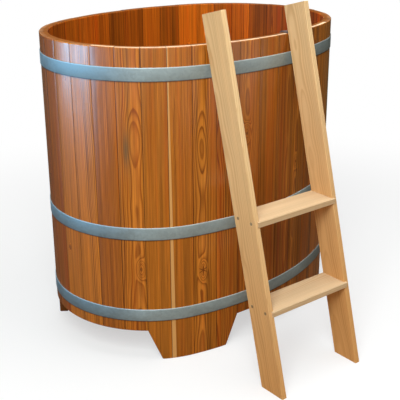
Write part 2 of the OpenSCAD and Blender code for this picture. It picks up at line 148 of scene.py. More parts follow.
GASKET = (
    (0.0242, 0.0), (0.0360, 0.0), (0.0365, 0.0004), (0.0365, 0.0016), (0.0360, 0.002), (0.0242, 0.002))
GASKET_UNDERSIDES = (0.158, 0.128)

# The ladder's own axes: x across it, y towards the tub, z up
LADDER_TURN = math.radians(-7.0)
LADDER_LEAN = math.radians(14.8)
LADDER_WIDTH = 0.338
STILE_THICKNESS = 0.018
STILE_WIDTH = 0.090
STILE_INNER_X = LADDER_WIDTH / 2 - STILE_THICKNESS
STEP_RISE = 0.261
STEP_THICKNESS = 0.018
STEP_SCREW_SPACING = 0.058
HOOK_THICKNESS = 0.003
TONGUE_Z = RIM + 0.001
HOOK_FLANGE_LENGTH = 0.062
HOOK_FLANGE_HEIGHT = 0.024
HOOK_FLANGE_MARGIN = 0.004
HOOK_SCREW_SPACING = 0.036
SLIP_GAP = 0.0003

# Shank radius and length of the screws
FLOOR_SCREW = (0.0025, 0.042)
STEP_SCREW = (0.0025, 0.060)
HOOK_SCREW = (0.002, 0.018)
SCREW_STEPS = 32

# The camera, worked out from the tub's rim, hoops, feet and ladder in the picture
CAMERA_AZIMUTH = -0.7756
CAMERA_DISTANCE = 2.82715
CAMERA_HEIGHT = 1.430103
CAMERA_YAW = -0.0513
CAMERA_PITCH = 0.3541
CAMERA_ROLL = 0.0092
CAMERA_LENS = 75.669
CAMERA_SHIFT = (-0.0875, -0.0130)

# The studio's ground and the height of its upright cards
GROUND_HALF = 12.0
CARD_HEIGHT = 4.2

# The four arcs anticlockwise from the front side: centre, radius, first angle, sweep, staves
ARCS = (
    ((0.0, SIDE_CENTRE), SIDE_RADIUS, -math.pi / 2 - SIDE_HALF_ANGLE, 2 * SIDE_HALF_ANGLE, SIDE_STAVES),
    ((END_CENTRE, 0.0), END_RADIUS, -END_HALF_ANGLE, 2 * END_HALF_ANGLE, END_STAVES),
    ((0.0, -SIDE_CENTRE), SIDE_RADIUS, math.pi / 2 - SIDE_HALF_ANGLE, 2 * SIDE_HALF_ANGLE, SIDE_STAVES),
    ((-END_CENTRE, 0.0), END_RADIUS, math.pi - END_HALF_ANGLE, 2 * END_HALF_ANGLE, END_STAVES),
)
FRONT_ARC, RIGHT_ARC, BACK_ARC, LEFT_ARC = range(4)


def linear(red, green, blue):
    """Screen values from 0 to 255 as the linear light that Blender's colours hold."""
    return tuple((value / 255) ** 2.2 for value in (red, green, blue))


# Colours that the sidebar doesn't list
WHITE = (1.0, 1.0, 1.0)
HEARTWOOD = linear(200, 124, 46)
RED_WOOD = linear(118, 41, 6)
SMOKE = linear(104, 84, 58)
KNOT_WOOD = linear(70, 26, 8)
SAWN_WET = linear(118, 68, 28)
# Painted highlight on the end grain at the rim
SAWN_HIGHLIGHT = linear(250, 216, 178)
# Painted shadow just under the hoops
PAINTED_HOOP_SHADOW = linear(60, 34, 16)
# Dark seams: dirt and painted shade in the grooves
STAVE_SEAM_DIRT_AND_SHADE = linear(46, 20, 7)
FLOOR_WOOD = (linear(190, 116, 52), linear(122, 62, 22))
BATTEN_WOOD = (linear(188, 116, 54), linear(124, 66, 26))
FLOOR_SEAM = linear(45, 25, 14)
STEP_WOOD = (linear(213, 184, 146), linear(190, 146, 102))
HOOK_IRON = linear(112, 92, 86)
SCREW_PLATE = linear(158, 124, 84)
RUBBER_BLOOM = linear(92, 90, 88)
# Painted shade at the foot of the stiles
LOW_STILE_SHADE = (0.84, 0.64, 0.45)
GROUND_SHOWN = (0.93, 0.93, 0.93)
GROUND_BOUNCE = (0.46, 0.31, 0.18)

# Widths of a growth ring in the planed boards
FLOOR_RING = 0.0034
PINE_RING = 0.0042


class TubShape(bpy.types.PropertyGroup):
    """Small sizes that only the dressed tub has."""

    arris: bpy.props.FloatProperty(
        name="Stave arris", description="Radius of the eased long edges of a stave",
        default=0.0012, min=0.0004, max=0.003, unit="LENGTH")
    rim_play: bpy.props.FloatProperty(
        name="Rim play", description="Most that one stave ends below the rim",
        default=0.0010, min=0.0, max=0.003, unit="LENGTH")
    hoop_edge: bpy.props.FloatProperty(
        name="Hoop edge", description="Radius of the rolled edges of a hoop",
        default=0.0006, min=0.0002, max=0.0009, unit="LENGTH")
    ring_spacing: bpy.props.FloatProperty(
        name="Growth rings", description="Width of a growth ring in the larch",
        default=0.0032, min=0.001, max=0.008, unit="LENGTH")


class TubColours(bpy.types.PropertyGroup):
    """Colours of the finishes."""

    larch_early: bpy.props.FloatVectorProperty(
        name="Larch, early wood", description="Pale part of a growth ring in the oiled larch",
        default=linear(180, 110, 36), subtype="COLOR")
    larch_late: bpy.props.FloatVectorProperty(
        name="Larch, late wood", description="Dark part of a growth ring in the oiled larch",
        default=linear(96, 43, 10), subtype="COLOR")
    larch_sapwood: bpy.props.FloatVectorProperty(
        name="Larch, sapwood", description="Pale outer wood along some staves' edges",
        default=linear(214, 160, 98), subtype="COLOR")
    # The inner faces' tint is partly the bare wet wood and partly painted shade
    larch_inside: bpy.props.FloatVectorProperty(
        name="Larch, inside", description="Tint of the tub's wet inner faces",
        default=linear(202, 172, 120), subtype="COLOR")
    pine_early: bpy.props.FloatVectorProperty(
        name="Pine, early wood", description="Pale part of a growth ring in the ladder",
        default=linear(230, 195, 146), subtype="COLOR")
    pine_late: bpy.props.FloatVectorProperty(
        name="Pine, late wood", description="Dark part of a growth ring in the ladder",
        default=linear(192, 144, 92), subtype="COLOR")
    zinc: bpy.props.FloatVectorProperty(
        name="Zinc", description="Galvanised coat of the hoops and rivets",
        default=linear(151, 163, 164), subtype="COLOR")
    steel: bpy.props.FloatVectorProperty(
        name="Steel", description="Stainless steel of the drain",
        default=linear(200, 196, 188), subtype="COLOR")
    rubber: bpy.props.FloatVectorProperty(
        name="Rubber", description="Plug and gaskets",
        default=linear(38, 38, 40), subtype="COLOR")


class StudioLight(bpy.types.PropertyGroup):
    """Strengths of the studio's light."""

    key_power: bpy.props.FloatProperty(
        name="Key", description="Power of the lamp above the camera", default=140.0, min=0.0, unit="POWER")
    blue_power: bpy.props.FloatProperty(
        name="Blue", description="Power of the lamp that the left end reflects", default=310.0, min=0.0,
        unit="POWER")
    top_power: bpy.props.FloatProperty(
        name="Top", description="Power of the lamp overhead", default=66.0, min=0.0, unit="POWER")
    sky: bpy.props.FloatProperty(
        name="Sky", description="Even light from all round", default=0.20, min=0.0, max=2.0)


class Wire:
    """An output socket of a finish. Arithmetic on it adds Math nodes."""

    def __init__(self, finish, socket):
        self.finish, self.socket = finish, socket

    def math(self, operation, *others):
        """A Math node on this value and the others."""
        return self.finish.math(operation, self, *others)

    def __add__(self, other):
        return self.math("ADD", other)

    def __sub__(self, other):
        return self.math("SUBTRACT", other)

    def __rsub__(self, other):
        return self.finish.math("SUBTRACT", other, self)

    def __mul__(self, other):
        return self.math("MULTIPLY", other)

    def __truediv__(self, other):
        return self.math("DIVIDE", other)

    def __rtruediv__(self, other):
        return self.finish.math("DIVIDE", other, self)

    def __pow__(self, other):
        return self.math("POWER", other)

    def __rpow__(self, other):
        return self.finish.math("POWER", other, self)

    def __abs__(self):
        return self.math("ABSOLUTE")

    __radd__ = __add__
    __rmul__ = __mul__

    def step(self, low, high):
        """0 below low, 1 above high and a smooth rise between them."""
        return self.finish.node(
            "ShaderNodeMapRange", {"interpolation_type": "SMOOTHSTEP"},
            {"Value": self, "From Min": low, "From Max": high})

    def ramp(self, *stops):
        """The value that a row of (place, value) stops gives at this place."""
        return self.finish.node(
            "ShaderNodeFloatCurve", {"stops": stops}, {"Factor": 1.0, "Value": self})


class Finish:
    """The nodes of one material or of the world."""

    def __init__(self, owner, output):
        owner.use_nodes = True
        self.tree = owner.node_tree
        self.tree.nodes.clear()
        self.output = self.tree.nodes.new(output)

    def node(self, kind, settings=None, sockets=None, out=0):
        """Adds a node, sets its settings, feeds its sockets and returns one of its outputs."""
        node = self.tree.nodes.new(kind)
        for name, value in (settings or {}).items():
            if name == "stops":
                points = node.mapping.curves[0].points
                for place, height in value[1:-1]:
                    points.new(place, height)
                for point, stop in zip(points, value):
                    point.location = stop
                    point.handle_type = "VECTOR"
                node.mapping.update()
            else:
                setattr(node, name, value)
        for key, value in (sockets or {}).items():
            if isinstance(value, Wire):
                self.tree.links.new(value.socket, node.inputs[key])
            else:
                node.inputs[key].default_value = value
        return Wire(self, node.outputs[out])

    def math(self, operation, *values):
        return self.node("ShaderNodeMath", {"operation": operation}, dict(enumerate(values)))

    def attribute(self, name):
        return self.node("ShaderNodeAttribute", {"attribute_name": name}, out="Vector")

    def place(self):
        """The place in metres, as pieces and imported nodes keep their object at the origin."""
        return self.node("ShaderNodeTexCoord", out="Object")

    def xyz(self):
        return self.split(self.place())

    def seen(self):
        """1 for rays from the camera, in reflections and through glass, and 0 for the light itself."""
        rays = ("Is Camera Ray", "Is Glossy Ray", "Is Transmission Ray")
        return sum(self.node("ShaderNodeLightPath", out=name) for name in rays).math("MINIMUM", 1.0)

    def split(self, vector):
        node = self.node("ShaderNodeSeparateXYZ", sockets={0: vector}).socket.node
        return tuple(Wire(self, socket) for socket in node.outputs)

    def join(self, x, y, z):
        return self.node("ShaderNodeCombineXYZ", sockets={0: x, 1: y, 2: z})

    def turned(self, vector, location=(0, 0, 0), rotation=(0, 0, 0)):
        return self.node(
            "ShaderNodeMapping", sockets={"Vector": vector, "Location": location, "Rotation": rotation})

    def stretched(self, vector, factors):
        return self.node("ShaderNodeVectorMath", {"operation": "MULTIPLY"}, {0: vector, 1: factors})

    def noise(self, vector, factors, detail=2.0, roughness=0.5):
        """Noise from 0 to 1 whose cells per metre along each axis are the factors."""
        sockets = {"Scale": 1.0, "Detail": detail, "Roughness": roughness}
        sockets["Vector"] = self.stretched(vector, factors)
        return self.node("ShaderNodeTexNoise", {"noise_dimensions": "3D"}, sockets)

    def mix(self, factor, first, second, blend="MIX"):
        """Mixes two colours, given as wires or as red, green and blue."""
        def colour(value):
            return value if isinstance(value, Wire) else (*value, 1.0)
        return self.node(
            "ShaderNodeMix", {"data_type": "RGBA", "blend_type": blend},
            {"Factor": factor, 6: colour(first), 7: colour(second)}, out=2)

    def scaled(self, colour, factor):
        return self.node("ShaderNodeVectorMath", {"operation": "SCALE"}, {0: colour, "Scale": factor})

    def bump(self, height, distance, strength=1.0):
        """A normal for a height from 0 to 1 that stands for a depth in metres."""
        return self.node(
            "ShaderNodeBump", sockets={"Height": height, "Distance": distance, "Strength": strength})

    def end(self, shader):
        """Makes a shader the surface of the material or the world."""
        self.tree.links.new(shader.socket, self.output.inputs["Surface"])

    def shade(self, sockets):
        """Ends the material in a Principled shader with these sockets."""
        self.end(self.node("ShaderNodeBsdfPrincipled", sockets=sockets))


def made(name, maker, *details, **choices):
    """The material of this name. The maker fills it with nodes the first time it is asked for."""
    material = bpy.data.materials.get(name)
    if material is None:
        material = bpy.data.materials.new(name)
        maker(Finish(material, "ShaderNodeOutputMaterial"), *details, **choices)
    return material


def rings(finish, board, spacing, taper=0.010, wander=0.006, bulge=0.0):
    """The figure that a board's faces cut from a tree whose pith is the board vector's Z axis.

    The distance from the pith plus the taper times the height, slow noise and the bulge round a
    knot, divided by the ring's spacing, counts the rings. Within a ring the wood darkens slowly and
    then turns pale at once. The heart is 1 over the pith. The other parts of the figure are noise
    drawn out along the height, from the finest to the widest.
    """
    x, y, z = finish.split(board)
    slow = finish.noise(board, (9.0, 9.0, 3.6)) - 0.5
    radius = (x * x + y * y) ** 0.5 + z * taper + slow * (2 * wander) + bulge
    years = finish.noise(finish.join(radius, z * 0.02, 0.0), (110.0, 1.0, 1.0))
    ring = (radius / spacing + years * 1.6).math("FRACT")
    late = ring.ramp(
        (0.0, 0.20), (0.08, 0.0), (0.40, 0.10), (0.66, 0.60), (0.82, 1.0), (0.95, 0.9), (1.0, 0.20))
    late = late * (years.step(0.25, 0.75) * 0.6 + 0.4)
    return {
        "late": late,
        "heart": 1.0 - abs(x).step(0.006, 0.022),
        "fibre": finish.noise(board, (620.0, 620.0, 9.0), 2.0, 0.6),
        "streak": finish.noise(board, (190.0, 190.0, 2.2), 3.0, 0.6),
        "band": finish.noise(board, (38.0, 38.0, 0.8), 2.0, 0.55),
        "blotch": finish.noise(board, (14.0, 14.0, 5.0), 3.0, 0.6)}


def mark_axes(finish, board, mark):
    """The place across and along the board from a mark, whose attribute is its board x, z and size."""
    x, _, z = finish.split(board)
    mark_x, mark_z, size = finish.split(finish.attribute(mark))
    return x - mark_x, z - mark_z, size


def hill(across, along, width, length):
    """A bell-shaped hill, 1 at its middle: the exponential of minus the squared distance, in widths."""
    spread = (across / width) ** 2 + (along / length) ** 2
    return (0.0 - spread).math("EXPONENT")


def knot_figure(finish, board):
    """How far knots and a flame's island push the rings out, and how dark the knots' own wood is.

    A round knot has a soft core. A star knot is split from its core outwards, where the cosine of
    six times the angle round it is high.
    """
    across, along, size = mark_axes(finish, board, "knot")
    bulge = hill(across, along, size * 2.2, size * 5.5) * size * 3.4
    far = ((across / size) ** 2 + (along / size) ** 2 * 0.45) ** 0.5
    core = (1.0 - far.step(0.4, 1.1)) * 0.55
    across, along, size = mark_axes(finish, board, "star")
    bulge = bulge + hill(across, along, size * 2.0, size * 6.0) * size * 2.6
    far = ((across / size) ** 2 + (along / size) ** 2 * 0.6) ** 0.5
    angle = across.math("ARCTAN2", along) * 6.0
    reach = (angle.math("COSINE") * 0.5 + 0.5) ** 3.0 * 2.2 + 0.3
    core = core + (1.0 - (far / reach).step(0.6, 1.2)) * 0.9
    across, along, depth = mark_axes(finish, board, "island")
    return bulge - hill(across, along, 0.034, 0.085) * depth, core


def end_grain(finish):
    """1 where a face looks straight up or down, which is where the staves are sawn across."""
    _, _, up = finish.split(finish.node("ShaderNodeNewGeometry", out="Normal"))
    return abs(up).step(0.75, 0.95)


def larch_finish(finish, colours, ring_spacing):
    """Oiled larch: ring figure, knots, sapwood, a tone for each stave that is partly painted light and
    shade, paler end grain with a painted highlight, dark seams partly painted shade, painted shadows under
    the hoops, and inner faces with painted shade and painted light.
    """
    board = finish.attribute("board")
    seam, sapwood, depth = finish.split(finish.attribute("place"))
    tone, redness, pale_end = finish.split(finish.attribute("cast"))
    bulge, core = knot_figure(finish, board)
    grain = rings(finish, board, ring_spacing, bulge=bulge)
    figure = grain["late"] * 0.95 + (grain["fibre"] - 0.5) * 0.4
    early = finish.mix(grain["heart"] * 0.8, colours.larch_early, HEARTWOOD)
    colour = finish.mix(figure, early, colours.larch_late)
    red = grain["band"].step(0.46, 0.70) * 0.6 + redness * 0.45
    colour = finish.mix(red * 0.66, colour, RED_WOOD)
    # Each stave's tone, partly painted light and shade, with the wood's blotches, bands and streaks
    light = (
        tone * 0.22 + (grain["blotch"] - 0.5) * 0.30 + (grain["band"] - 0.5) * 1.4 + 1.12
        + (grain["streak"] - 0.5) * 1.8)
    colour = finish.scaled(colour, light)
    colour = finish.mix(sapwood.step(0.0, 0.0020) * 0.9, colour, colours.larch_sapwood)
    across, along, smoke = mark_axes(finish, board, "smoke")
    colour = finish.mix(hill(across, along, 0.009, 0.055) * smoke, colour, SMOKE)
    colour = finish.mix(core, colour, KNOT_WOOD)
    end = end_grain(finish)
    # A painted highlight along the rim's outer edge, and across the end grain of the staves that have it
    rim_highlight = pale_end * (1.0 - depth.step(0.30, 0.60)) + (1.0 - depth.step(0.05, 0.15)) * 0.45
    end_early = finish.mix(rim_highlight, SAWN_WET, SAWN_HIGHLIGHT)
    end_colour = finish.mix(grain["late"] * 0.5, end_early, colours.larch_early)
    colour = finish.mix(end * 0.9, colour, finish.scaled(end_colour, light * 0.5 + 0.5))
    inner = depth.step(0.86, 0.98) * (1.0 - end)
    x, _, height = finish.xyz()
    # Painted light on the inner faces at the right-hand end, added to each stave's tone
    inside_tone_and_painted_light = (tone + 1.0) * 0.35 + x.step(0.05, 0.42) * 0.50
    inside = finish.scaled(colour, inside_tone_and_painted_light + (grain["band"] - 0.5) * 1.2 + 1.10)
    # Darker, redder inner faces: wet wood and painted shade
    inside = finish.mix(1.0, inside, colours.larch_inside, "MULTIPLY")
    colour = finish.mix(inner, colour, inside)
    # A painted shadow on the staves just under each hoop
    below_hoops = [low - height for low in HOOP_HEIGHTS.values()]
    stain = sum((1.0 - gap.step(0.0005, 0.006)) * gap.step(-0.001, 0.0) for gap in below_hoops)
    # Dark seams between the staves, partly dirt and partly painted shade in the grooves
    groove = 1.0 - seam.step(0.0002, 0.0022)
    colour = finish.mix(stain * (1.0 - inner) * 0.55, colour, PAINTED_HOOP_SHADOW)
    colour = finish.mix(groove * 0.6, colour, STAVE_SEAM_DIRT_AND_SHADE)
    roughness = 0.46 + (grain["fibre"] - 0.5) * 0.16 - grain["late"] * 0.06 + inner * 0.2 + end * 0.3
    # A stave's face is planed a little flatter than the oval
    flat = 1.0 - seam.step(0.0, 0.048)
    relief = grain["late"] * 0.6 + grain["fibre"] * 0.4 + flat * (1.0 - inner) * 4.0
    varnish = (1.0 - inner) * (1.0 - end) * (grain["blotch"].step(0.35, 0.62) * 0.5 + 0.65)
    finish.shade({
        "Base Color": colour, "Roughness": roughness, "Specular IOR Level": 0.1,
        "Coat Weight": varnish, "Coat Roughness": 0.24,
        "Normal": finish.bump(relief, 0.0003)})


def plank_finish(finish, axes, spacing, early, late, contrast, roughness, seams=None, tint=None):
    """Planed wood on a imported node. The axes function turns the place into the board's own axes.

    The seams function is 1 along joints. The tint function's colour multiplies the wood's.
    """
    grain = rings(finish, axes(finish), spacing, taper=0.012, wander=0.010)
    figure = grain["late"] * contrast + (grain["fibre"] - 0.5) * 0.3
    colour = finish.mix(figure, early, late)
    colour = finish.scaled(colour, (grain["blotch"] - 0.5) * 0.16 + (grain["band"] - 0.5) * 0.30 + 1.0)
    if tint is not None:
        colour = finish.mix(1.0, colour, tint(finish), "MULTIPLY")
    rough = roughness + (grain["fibre"] - 0.5) * 0.15
    relief = grain["late"] * 0.5 + grain["fibre"] * 0.5
    if seams is not None:
        groove = seams(finish)
        colour = finish.mix(groove * 0.8, colour, FLOOR_SEAM)
        relief = relief - groove * 4.0
    finish.shade({
        "Base Color": colour, "Roughness": rough, "Specular IOR Level": 0.01,
        "Normal": finish.bump(relief, 0.00025)})


def in_ladder_axes(finish):
    """The place in the ladder's own axes."""
    shift = ladder_matrix().inverted().translation
    return finish.turned(finish.place(), shift, (0.0, 0.0, -LADDER_TURN))


def stile_axes(finish):
    """Board axes of both stiles: their pith lies to the side, and each gets its own length of it."""
    upright = finish.turned(in_ladder_axes(finish), rotation=(LADDER_LEAN, 0.0, 0.0))
    x, y, z = finish.split(upright)
    side = x.math("SIGN")
    return finish.join(y + 1.13 + side * 0.012, x - side * 0.10, z + side * 3.7)


def stile_painted_shade(finish):
    """Painted shade: the stiles are darker and warmer towards the ground, the right-hand one from higher
    up.
    """
    _, _, height = finish.xyz()
    x, _, _ = finish.split(in_ladder_axes(finish))
    lit_share = (height - x.math("SIGN") * 0.12).step(0.0, 0.95)
    return finish.mix(lit_share, LOW_STILE_SHADE, WHITE)


def step_axes(finish):
    """Board axes of both steps: the length lies across the ladder."""
    x, y, z = finish.split(in_ladder_axes(finish))
    upper = z.step(0.38, 0.40)
    return finish.join(y + 1.06 + upper * 0.09, z - upper * 0.28 - 0.17, x + upper * 2.3)


def boards_before(y):
    """How many boards' widths a place across the floor lies behind the middle board's front edge."""
    return y / BOARD_PITCH + (0.5 - MIDDLE_Y / BOARD_PITCH)


def floor_axes(finish):
    """Board axes of the floor's boards, which lie along the tub. Each has its own pith."""
    x, y, z = finish.xyz()
    number = boards_before(y).math("FLOOR")
    across = y - number * BOARD_PITCH - MIDDLE_Y
    return finish.join(across + number * 0.011, z - 0.05 + number * 0.013, x + number * 2.7)


def floor_seams(finish):
    """1 along the joints between the floor's boards."""
    _, y, _ = finish.xyz()
    part = boards_before(y).math("FRACT")
    off = (0.5 - abs(part - 0.5)) * BOARD_PITCH
    return 1.0 - off.step(0.0003, 0.0016)


def batten_axes(finish):
    """Board axes of the battens, which lie across the tub."""
    x, y, z = finish.xyz()
    side = x.math("SIGN")
    return finish.join(x - side * (BATTEN_X - 0.02), z - 0.17, y + side * 1.9)


def zinc_finish(finish, tint):
    """Galvanised steel: a spangle of crystals, cloudy dulling and fine drawing lines.

    The zinc is painted darker round the tub's two ends, most at the right, as painted shade. A painted
    highlight runs along each hoop's upper edge and painted shade along its lower edge.
    """
    place = finish.place()
    crystal = finish.node(
        "ShaderNodeTexVoronoi", {"feature": "F1"}, {"Vector": place, "Scale": 150.0}, out="Color")
    spangle = finish.node("ShaderNodeSeparateColor", sockets={0: crystal})
    cloud = finish.noise(place, (14.0, 14.0, 30.0), 4.0, 0.6)
    scratch = finish.noise(place, (60.0, 60.0, 1900.0), 2.0, 0.6)
    _, across, _ = finish.split(finish.attribute("strip"))
    # A painted highlight along each hoop's upper edge and painted shade along its lower edge
    top_edge_highlight = across.step(HOOP_WIDTH - 0.0030, HOOP_WIDTH - 0.0015)
    lower_edge_shade = 1.0 - across.step(0.0005, 0.0030)
    light = 0.92 + (spangle - 0.5) * 0.12 + (cloud - 0.5) * 0.35 + (scratch - 0.5) * 0.12
    light = light + top_edge_highlight * 0.7 - lower_edge_shade * across.math("SIGN") * 0.45
    x, _, _ = finish.split(place)
    # Painted shade round both ends of the tub, most at the right
    light = light * (1.0 - abs(x).step(0.43, 0.535) * 0.42 - x.step(0.08, 0.42) * 0.40)
    roughness = 0.56 + (cloud - 0.5) * 0.25 + (spangle - 0.5) * 0.10
    finish.shade({
        "Base Color": finish.scaled(tint, light), "Metallic": 0.35, "Roughness": roughness,
        "Specular IOR Level": 0.2, "Normal": finish.bump(scratch * 0.5 + spangle * 0.3, 0.00008)})


def steel_finish(finish, tint, roughness, metallic=1.0):
    """Steel with fine lines and slight stains. The hook's iron and the plated screws are less metallic."""
    place = finish.place()
    lines = finish.noise(place, (90.0, 90.0, 2400.0), 2.0, 0.6)
    stain = finish.noise(place, (45.0, 45.0, 45.0), 3.0, 0.55)
    colour = finish.scaled(tint, 0.9 + (stain - 0.5) * 0.3)
    rough = roughness + (stain - 0.5) * 0.2 + (lines - 0.5) * 0.15
    finish.shade({
        "Base Color": colour, "Metallic": metallic, "Roughness": rough,
        "Specular IOR Level": metallic * 0.5, "Normal": finish.bump(lines, 0.00003)})


def rubber_finish(finish, tint):
    """Moulded black rubber with a fine grain and a chalky bloom."""
    place = finish.place()
    grain = finish.noise(place, (2200.0, 2200.0, 2200.0), 2.0, 0.6)
    bloom = finish.noise(place, (60.0, 60.0, 60.0), 4.0, 0.6).step(0.45, 0.75)
    colour = finish.mix(bloom * 0.35, tint, RUBBER_BLOOM)
    finish.shade({
        "Base Color": colour, "Roughness": 0.55 + bloom * 0.25,
        "Normal": finish.bump(grain, 0.00004)})


def node_object(name):
    """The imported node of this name, without which a step can't finish."""
    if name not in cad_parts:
        raise RuntimeError(f"the packed model has no node {name}")
    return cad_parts[name]


def dress(names, material):
    """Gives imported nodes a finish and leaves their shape."""
    for name in names:
        mesh = node_object(name).data
        mesh.materials.clear()
        mesh.materials.append(material)


def placed(name, data):
    """A new object of the scene with this data."""
    item = bpy.data.objects.new(name, data)
    bpy.context.scene.collection.objects.link(item)
    return item


def add_piece(name, parts, material, body, attributes=None, sharp=35.0):
    """Makes one mesh of (grid, faces) parts, which takes the place of the node of its name."""
    node_object(name)
    points, faces = joined(parts)
    mesh = bpy.data.meshes.new(name)
    mesh.from_pydata(points.tolist(), [], faces)
    for attribute, values in (attributes or {}).items():
        layer = mesh.attributes.new(attribute, "FLOAT_VECTOR", "POINT")
        layer.data.foreach_set("vector", np.ascontiguousarray(values, dtype=np.float32).ravel())
    mesh.polygons.foreach_set("use_smooth", np.ones(len(mesh.polygons), dtype=bool))
    mesh.set_sharp_from_angle(angle=math.radians(sharp))
    if mesh.validate():
        raise RuntimeError(f"{name} came out with faulty faces")
    mesh.materials.append(material)
    piece = placed(name, mesh)
    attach(piece, body)
    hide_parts(name)


def tube_faces(rows, loop):
    """Quads between neighbouring rows of a grid whose loops close on themselves."""
    row, place = np.meshgrid(np.arange(rows - 1), np.arange(loop), indexing="ij")
    after = (place + 1) % loop
    low, high = row * loop, (row + 1) * loop
    return np.stack([low + place, low + after, high + after, high + place], -1).reshape(-1, 4).tolist()


def capped_faces(rows, loop):
    """A grid's quads, with its first and last row closed by one face each."""
    last = (rows - 1) * loop
    return tube_faces(rows, loop) + [list(range(loop - 1, -1, -1)), list(range(last, last + loop))]


def stave_places():
    """Every stave's arc, angles, whether it stands on the ground and the side that the saw took off it."""
    places = []
    for arc, (centre, radius, start, sweep, count) in enumerate(ARCS):
        for number in range(count):
            from_meeting = min(number, count - 1 - number)
            ahead = number < count / 2
            plumb = arc == (LEFT_ARC if ahead else RIGHT_ARC)
            sawn = 0
            if from_meeting == FOOT_HALF_STAVES - 1 and not plumb:
                sawn = 1 if ahead else -1
            is_foot = from_meeting < FOOT_HALF_STAVES
            places.append((centre, radius, start + number * sweep / count, sweep / count, is_foot, sawn))
    return places


def saw_line(z):
    """How far the saw's cut has moved in from a foot's outer seam at height z.

    It is the taper times the missing share of the foot's height, and near the ground an arc that
    touches both that line and the ground.
    """
    angle = math.atan2(FOOT_HEIGHT, FOOT_TAPER)
    corner = FOOT_TAPER + FOOT_CORNER * math.tan(angle / 2)
    touch = FOOT_CORNER * (1 - math.cos(angle))
    line = FOOT_TAPER * (1 - z / FOOT_HEIGHT)
    arc = corner - np.sqrt(np.maximum(FOOT_CORNER**2 - (FOOT_CORNER - z) ** 2, 0.0))
    return np.where(z > FOOT_HEIGHT, 0.0, np.where(z < touch, arc, line))


def stave_surface(place, arris, top):
    """One stave as a closed loop carried up its height.

    A point of the loop lies at a radius from the arc's centre and between two radial planes. On the
    arrises it follows a quarter circle, and its angle off the near plane is the arcsine of its
    distance from that plane over its radius. The croze widens the inner radius between two heights,
    both ends have a bevel, and the saw's cut moves one plane inwards below the foot's height.
    Returns the points and, for each, its distance across, depth, height and distances from both seams.
    """
    centre, radius, start, sweep, is_foot, sawn = place
    inwards, beneath = arris * (1 - np.cos(ROUNDING)), arris * (1 - np.sin(ROUNDING))
    across = np.linspace(0, 1, FACE_POINTS + 2)[1:-1]
    level = np.full(len(across), arris)
    # Half the loop: share of the way across, distance from the near plane and depth below the face
    share = np.concatenate([np.zeros_like(ROUNDING), across, np.ones_like(ROUNDING)])
    off = np.concatenate([inwards, level, inwards[::-1]])
    depth = np.concatenate([beneath, 0 * across, beneath[::-1]])
    share, off, depth = (np.concatenate([half, half[::-1]]) for half in (share, off, depth))
    inner = np.repeat([0, 1], len(share) // 2)

    low = 0.0 if is_foot else FOOT_HEIGHT
    rows = [(low, END_BEVEL, 0.0), (low + END_BEVEL, 0.0, 0.0)]
    if is_foot:
        rows += [(z, 0.0, 0.0) for z in FOOT_ROWS]
    rows += [
        (CROZE_LOW, 0.0, 0.0), (CROZE_LOW, 0.0, CROZE_DEPTH),
        (CROZE_HIGH, 0.0, CROZE_DEPTH), (CROZE_HIGH, 0.0, 0.0)]
    rows += [(z, 0.0, 0.0) for z in np.linspace(WALL_LOW, top - RIM_ROW, WALL_ROWS)]
    rows += [(top - END_BEVEL, 0.0, 0.0), (top, END_BEVEL, 0.0)]
    z, inset, groove = (np.array(column)[:, None] for column in zip(*rows))
    cut = saw_line(z)

    outer_r = radius - depth - inset
    inner_r = radius - STAVE_THICKNESS + depth + inset + groove
    r = np.where(inner > 0, inner_r, outer_r)
    low_angle = start + np.arcsin((off + cut * (sawn < 0)) / r)
    high_angle = start + sweep - np.arcsin((off + cut * (sawn > 0)) / r)
    angle = low_angle * (1 - share) + high_angle * share
    height = np.broadcast_to(z, r.shape)
    points = np.stack([
        centre[0] + r * np.cos(angle),
        centre[1] + MIDDLE_Y + r * np.sin(angle),
        height], -1)
    u = (angle - start - sweep / 2) * r
    from_low, from_high = np.sin(angle - start) * r, np.sin(start + sweep - angle) * r
    return points, u, radius - r, height, from_low, from_high


def ladder_faces(rows, loop):
    """A closed grid's quads, with both ends filled by quads between the loop's two halves."""
    half = np.arange(loop // 2 - 1)
    rungs = np.stack([half, half + 1, loop - 2 - half, loop - 1 - half], -1)
    top = rungs + (rows - 1) * loop
    return tube_faces(rows, loop) + rungs[:, ::-1].tolist() + top.tolist()


# Staves whose figure shows. A knot, star, island of the flame or smoke-coloured streak is given as
# its place across from the stave's middle, to the right from outside, its height and its size.
# Staves 3 to 7 have low tones as painted shade, and 33 to 35 high tones as a painted sheen
STAVE_FIGURES = {
    "stave_01": {"tone": 0.1, "red": 0.3, "pith": (-0.012, 0.050), "star": (-0.008, 0.294, 0.0062),
                 "island": (-0.012, 0.695, 0.007)},
    "stave_02": {"tone": 0.0, "red": 0.6},
    "stave_03": {"tone": -0.2, "red": 0.5, "pith": (-0.008, 0.045), "knot": (-0.010, 0.715, 0.005),
                 "island": (-0.008, 0.82, 0.006)},
    "stave_04": {"tone": -0.4, "red": 0.8},
    "stave_05": {"tone": -0.8, "red": 0.9},
    "stave_06": {"tone": -0.6, "red": 0.5, "pith": (-0.012, 0.030), "knot": (-0.012, 0.57, 0.004)},
    "stave_07": {"tone": -0.6, "red": 0.8},
    "stave_33": {"tone": 0.8, "red": -0.7, "knot": (0.0075, 0.896, 0.003), "star": (-0.019, 0.346, 0.003)},
    "stave_34": {"tone": 0.7, "red": -0.6},
    "stave_35": {"tone": 0.4, "red": 0.9, "pith": (0.090, 0.060)},
    "stave_36": {"tone": 0.1, "red": 0.3, "pith": (0.014, 0.070), "knot": (0.022, 0.318, 0.0050),
                 "island": (0.014, 0.73, 0.008), "smoke": (-0.012, 0.70, 0.85)},
    "stave_37": {"tone": 0.1, "red": 0.2, "pith": (-0.110, 0.040)},
    "stave_38": {"tone": 0.1, "red": 0.3, "pith": (0.120, 0.050), "sapwood": 1.0},
}


